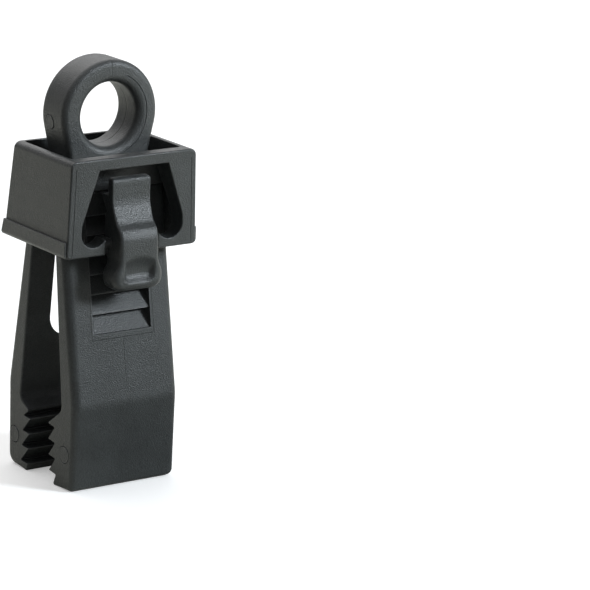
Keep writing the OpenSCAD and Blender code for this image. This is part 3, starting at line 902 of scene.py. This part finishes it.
SCOOP_HALF, SCOOP_DEEP, SCOOP_SEAT = 4.2, 1.25, 0.64
SCOOP_TOP, SCOOP_TOP_BOW = -30.3, 1.2
SCOOP_LIP, SCOOP_LIP_RISE, SCOOP_LIP_FLAT, SCOOP_LIP_ROUND = -36.5, 2.3, 1.9, 2.4
SCOOP_SIDE_SLOPE, SCOOP_LEAST = 1.35, -0.8
SCOOP_SOFT, SCOOP_RIM, SCOOP_SHIFT = 0.22, 0.14, 0.03
SCOOP_START, SCOOP_CELL, SCOOP_CELLS_X, SCOOP_CELLS_Z = -29.4, 0.2, 50, 40

PAWL_ROOT_Y, PAWL_TIP_Y, PAWL_HEEL_Y = 12.9, 9.42, 11.45
PAWL_TOP, PAWL_TIP_LOW, PAWL_HEEL_Z, PAWL_LOW = -16.8, -17.2, -20.3, -21.4
PAWL_HALF, PAWL_ROUND, PAWL_EDGE = 4.9, 0.2, 0.15
BAR_PLAY, LEVER_BORE_HALF = 0.05, 7.0


def curve(table, z):
    """A smooth line through (height, value) pairs that run downwards."""
    if z >= table[0][0]:
        return table[0][1]
    if z <= table[-1][0]:
        return table[-1][1]
    i = next(k for k in range(len(table) - 1) if table[k][0] >= z >= table[k + 1][0])

    def slope(k):
        if k == 0 or k == len(table) - 1:
            return 0.0
        before = (table[k][1] - table[k - 1][1]) / (table[k][0] - table[k - 1][0])
        after = (table[k + 1][1] - table[k][1]) / (table[k + 1][0] - table[k][0])
        return 0.0 if before * after <= 0 else 2 * before * after / (before + after)

    z0, v0 = table[i]
    z1, v1 = table[i + 1]
    h = z1 - z0
    t = (z - z0) / h
    return (
        v0 * (1 + 2 * t) * (1 - t) ** 2 + slope(i) * h * t * (1 - t) ** 2
        + v1 * t * t * (3 - 2 * t) + slope(i + 1) * h * t * t * (t - 1)
    )


def corner_loss(r, past):
    """How far a rounded corner of radius r falls back, a distance past its start."""
    return 0.0 if past <= 0 else r - math.sqrt(max(0.0, r * r - min(past, r) ** 2))


def end_loss(z, top_r, low_r):
    """How far the lever's rounded upper and lower ends fall back at a height."""
    return corner_loss(top_r, z - (LEVER_TOP - top_r)) + corner_loss(low_r, LEVER_LOW + low_r - z)


def scoop_depth(x, z):
    """Depth of the thumb scoop under the pad's face; just below zero outside its outline."""
    a = abs(x)
    bow = max(0.0, a - SCOOP_LIP_FLAT) / SCOOP_LIP_ROUND
    top = SCOOP_TOP - SCOOP_TOP_BOW * (a / SCOOP_HALF) ** 2
    lip = SCOOP_LIP + SCOOP_LIP_RISE * (1 - math.sqrt(max(0.0, 1 - bow ** 2)))
    t = (top - z) / (top - lip)
    down = 0.5 * math.pi * t / SCOOP_SEAT
    up = 0.5 * math.pi * (1 - t) / (1 - SCOOP_SEAT)
    if t < SCOOP_SEAT:
        fall = down if t < 0 else math.sin(down)
    else:
        fall = math.sin(up) if t < 1 else up
    ends = [max(SCOOP_LEAST, SCOOP_DEEP * fall), max(SCOOP_LEAST, SCOOP_SIDE_SLOPE * (SCOOP_HALF - a))]
    depth = -SCOOP_SOFT * math.log(sum(math.exp(-v / SCOOP_SOFT) for v in ends))
    return SCOOP_RIM * math.log(1 + math.exp(depth / SCOOP_RIM)) - SCOOP_SHIFT


def scoop_cutter():
    """A block in front of the pad whose rear side has the form of the thumb scoop."""
    wide = SCOOP_CELLS_X + 1
    verts, faces = [], []
    for k in range(SCOOP_CELLS_Z + 1):
        z = SCOOP_START - SCOOP_CELL * k
        for i in range(wide):
            x = SCOOP_CELL * (i - SCOOP_CELLS_X / 2)
            verts.append((x, -PAD_FACE + scoop_depth(x, z), z))
    for k in range(SCOOP_CELLS_Z):
        for i in range(SCOOP_CELLS_X):
            a = k * wide + i
            faces.append((a, a + 1, a + 1 + wide, a + wide))
    edge = list(range(wide))
    edge += [k * wide + SCOOP_CELLS_X for k in range(1, SCOOP_CELLS_Z + 1)]
    edge += [SCOOP_CELLS_Z * wide + i for i in range(SCOOP_CELLS_X - 1, -1, -1)]
    edge += [k * wide for k in range(SCOOP_CELLS_Z - 1, 0, -1)]
    first, count = len(verts), len(edge)
    verts += [(verts[i][0], -PAD_FACE - BEYOND, verts[i][2]) for i in edge]
    for i in range(count):
        j = (i + 1) % count
        faces.append((edge[i], edge[j], first + j, first + i))
    faces.append(tuple(range(first, first + count)))
    return new_object("scoop", verts, faces)


def lever_section(z):
    """The lever cut at a height: the face, then round the right edges, the back and the left edges."""
    half = curve(LEVER_HALF, z) - end_loss(z, *HALF_ENDS)
    front = -curve(LEVER_FACE, z) + end_loss(z, *FACE_ENDS)
    back = -curve(LEVER_BACK, z) - end_loss(z, *BACK_ENDS)
    e, g = curve(LEVER_EDGE, z), curve(LEVER_REAR_EDGE, z)
    loop = [((half - e) * (2 * k / FACE_CELLS - 1), front) for k in range(FACE_CELLS + 1)]
    for t in quarter(EDGE_PARTS)[1:]:
        loop.append((half - e + e * math.sin(t), front + e - e * math.cos(t)))
    for t in quarter(REAR_EDGE_PARTS):
        loop.append((half - g + g * math.cos(t), back - g + g * math.sin(t)))
    for t in quarter(REAR_EDGE_PARTS):
        loop.append((-half + g - g * math.sin(t), back - g + g * math.cos(t)))
    for t in quarter(EDGE_PARTS)[:-1]:
        loop.append((-half + e - e * math.cos(t), front + e - e * math.sin(t)))
    return [(x, y, z) for x, y in loop]


def build_lever():
    levels = [LEVER_TOP - TOP_SPAN * (1 - math.cos(t)) for t in quarter(TOP_PARTS)]
    levels += [STRAIGHT_TOP - STRAIGHT_STEP * k for k in range(STRAIGHT_COUNT)]
    levels += [BENT_TOP - BENT_STEP * k for k in range(BENT_COUNT)]
    levels += [LEVER_LOW + LOW_SPAN * (1 - math.sin(t)) for t in quarter(LOW_PARTS)[1:]]
    lever = loft("lever_body", [lever_section(z) for z in levels])
    pawl = [
        (PAWL_ROOT_Y, PAWL_TOP, 0, PAWL_EDGE),
        (PAWL_TIP_Y, PAWL_TOP, PAWL_ROUND, PAWL_EDGE),
        (PAWL_TIP_Y, PAWL_TIP_LOW, PAWL_ROUND, PAWL_EDGE),
        (PAWL_HEEL_Y, PAWL_HEEL_Z, 0, PAWL_EDGE),
        (PAWL_ROOT_Y, PAWL_LOW, 0, PAWL_EDGE),
    ]
    join(lever, prism_x("pawl", fillet_loop(pawl), PAWL_HALF, flip=-1.0))
    cut(lever, scoop_cutter())
    return cut(lever, rod_x("bore", BAR_R + BAR_PLAY, LEVER_BORE_HALF, BAR_Y, BAR_Z))


# The five pieces

ring_plastic = plastic("ring_plastic", ring_marks, RING_GLOSS, RING_SPECULAR)
front_plastic = plastic("front_jaw_plastic", front_marks, JAW_GLOSS, FRONT_SPECULAR, RACK_POLISH)
rear_plastic = plastic("rear_jaw_plastic", rear_marks, JAW_GLOSS, REAR_SPECULAR)
finish_mesh(build_ring(), "yoke", "ring_yoke", ring_plastic)
finish_mesh(build_front_jaw(), "front", "front_jaw", front_plastic)
finish_mesh(build_rear_jaw(), "rear", "rear_jaw", rear_plastic)
finish_mesh(build_collar(), "slider", "collar", plastic("collar_plastic"))
finish_mesh(build_lever(), "lever", "release_lever", plastic("lever_plastic"))


# Floor, with its sizes in metres

FLOOR_SIZE_M, FLOOR_PLACE_M = 6.0, (0.5, 1.0, TIP * MM)
PAPER_GRAIN, PAPER_TONES = 40.0, ((0.0, (0.84, 0.84, 0.84, 1)), (1.0, (0.86, 0.86, 0.86, 1)))
PAPER_ROUGHNESS, PAPER_SPECULAR, PAPER_GLOW = 0.9, 0.1, 0.3
# Painted shade on the paper, seen only by the object: a warm tint, darker in diffuse bounce, towards the
# left and in one spot near the clip
PAPER_WARMTH, DIFFUSE_SHADE_SHARE = (1.0, 1.0, 0.9), 0.38
LEFT_SHADE_ACROSS, LEFT_SHADE_RANGE_M, LEFT_SHADE_LEVEL = (0.8, 0.6, 0), (-0.17, -0.03), 0.1
SHADE_SPOT_PLACE_M, SHADE_SPOT_RANGE_M, SHADE_SPOT_LEVEL = (0.03, -0.045, TIP * MM), (0.02, 0.06), 0.15
WHITE = (1, 1, 1, 1)


def paper(name):
    """Matt paper, white to the camera; to the object it shows painted shade, which gives the object less
    light, least from the left and one spot.
    """
    material = bpy.data.materials.new(name)
    w = Wiring(material)
    place = w.node("NewGeometry", {}).outputs["Position"]
    ray = w.node("LightPath", {}).outputs

    across = w.vector("DOT_PRODUCT", {0: place, 1: LEFT_SHADE_ACROSS}, "Value")
    apart = w.vector("DISTANCE", {0: place, 1: SHADE_SPOT_PLACE_M}, "Value")
    mirrored = w.calc("MAXIMUM", ray["Is Glossy Ray"], ray["Is Transmission Ray"])
    # Painted shade: darker towards the left, in one spot near the clip, and darker still to diffuse rays
    levels = [
        w.level(across, *LEFT_SHADE_RANGE_M, LEFT_SHADE_LEVEL, 1.0, "SMOOTHSTEP"),
        w.level(apart, *SHADE_SPOT_RANGE_M, SHADE_SPOT_LEVEL, 1.0, "SMOOTHSTEP"),
        w.level(mirrored, 0.0, 1.0, DIFFUSE_SHADE_SHARE, 1.0, "SMOOTHSTEP"),
    ]
    given = w.vector("SCALE", {0: PAPER_WARMTH, "Scale": w.chain("MULTIPLY", levels)}, "Vector")
    seen = w.ramp(w.node("TexNoise", {"Scale": PAPER_GRAIN}).outputs["Fac"], PAPER_TONES)

    shader = w.nodes["Principled BSDF"].inputs
    w.put(w.mix(ray["Is Camera Ray"], given, seen), shader["Base Color"])
    w.put(PAPER_ROUGHNESS, shader["Roughness"])
    w.put(PAPER_SPECULAR, shader["Specular IOR Level"])
    w.put(WHITE, shader["Emission Color"])
    w.put(w.calc("MULTIPLY", ray["Is Camera Ray"], PAPER_GLOW), shader["Emission Strength"])
    return material


bpy.ops.mesh.primitive_plane_add(size=FLOOR_SIZE_M, location=FLOOR_PLACE_M)
floor = bpy.context.object
floor.name = "floor"
floor.data.materials.append(paper("floor_paper"))


# World, lights and camera, in metres and watts

scene = bpy.context.scene
SKY_TOWARDS, SKY_RANGE, SKY_LEVELS = (0.35, 0.8, 0.45), (-0.6, 0.8), (0.14, 0.5)
AIM_M, BACK_AIM_M = (0, 0, -0.03), (0, 0, -0.02)
FRONT_COLOUR = (0.92, 1.0, 1.06)
SUN_STRENGTH, SUN_ANGLE, SUN_TURN = 0.8, math.radians(60), (math.radians(-22), math.radians(-6), 0)

# The camera fitted to the photograph: place in millimetres, turns in degrees, focal length in pixels
CAMERA_PLACE, CAMERA_TURNS = (-429.9, -661.97, 170.89), (74.87434, -2.26535, -35.78016)
PHOTO_FOCAL, PHOTO_WIDTH, SENSOR_WIDTH = 3500.0, 590.0, 36.0
CLIP_START_M, CLIP_END_M = 0.05, 20.0


def studio_world():
    """White to the camera; to the object a soft light, stronger from behind and above."""
    world = bpy.data.worlds.new("studio")
    w = Wiring(world)
    direction = w.node("TexCoord", {}).outputs["Generated"]
    towards = w.vector("DOT_PRODUCT", {0: direction, 1: Vector(SKY_TOWARDS).normalized()}, "Value")
    given = w.nodes["Background"]
    w.put(WHITE, given.inputs["Color"])
    w.put(w.level(towards, *SKY_RANGE, *SKY_LEVELS, "SMOOTHSTEP"), given.inputs["Strength"])
    seen = w.node("Background", {"Color": WHITE, "Strength": 1.0})
    camera_ray = w.node("LightPath", {}).outputs["Is Camera Ray"]
    both = w.node("MixShader", {0: camera_ray, 1: given.outputs[0], 2: seen.outputs[0]})
    w.put(both.outputs[0], w.nodes["World Output"].inputs["Surface"])
    return world


def soft_light(name, place, target, size, watts, colour=(1, 1, 1)):
    data = bpy.data.lights.new(name, "AREA")
    data.shape = "RECTANGLE"
    data.size, data.size_y = size
    data.energy = watts
    data.color = colour
    lamp = bpy.data.objects.new(name, data)
    lamp.location = Vector(place)
    lamp.rotation_mode = "QUATERNION"
    lamp.rotation_quaternion = (Vector(target) - Vector(place)).to_track_quat("-Z", "Y")
    scene.collection.objects.link(lamp)


def overhead_sun():
    data = bpy.data.lights.new("overhead", "SUN")
    data.energy = SUN_STRENGTH
    data.angle = SUN_ANGLE
    sun = bpy.data.objects.new("overhead", data)
    sun.rotation_euler = SUN_TURN
    scene.collection.objects.link(sun)


def photo_camera():
    data = bpy.data.cameras.new("camera")
    data.sensor_fit = "HORIZONTAL"
    data.sensor_width = SENSOR_WIDTH
    data.lens = SENSOR_WIDTH * PHOTO_FOCAL / PHOTO_WIDTH
    data.clip_start, data.clip_end = CLIP_START_M, CLIP_END_M
    camera = bpy.data.objects.new("camera", data)
    turns = Euler([math.radians(angle) for angle in CAMERA_TURNS])
    camera.matrix_world = Matrix.LocRotScale(Vector(CAMERA_PLACE) * MM, turns, None)
    scene.collection.objects.link(camera)
    return camera


scene.world = studio_world()
soft_light("front_box", (0.585, -0.713, 0.41), AIM_M, size=(0.24, 0.24), watts=9.4, colour=FRONT_COLOUR)
soft_light("fill_box", (-0.62, -0.84, 0.28), AIM_M, size=(1.2, 1.0), watts=1.3)
soft_light("back_box", (0.35, 0.85, 0.55), BACK_AIM_M, size=(1.0, 0.6), watts=3.0)
overhead_sun()
scene.camera = photo_camera()
scene.view_settings.view_transform = "Standard"
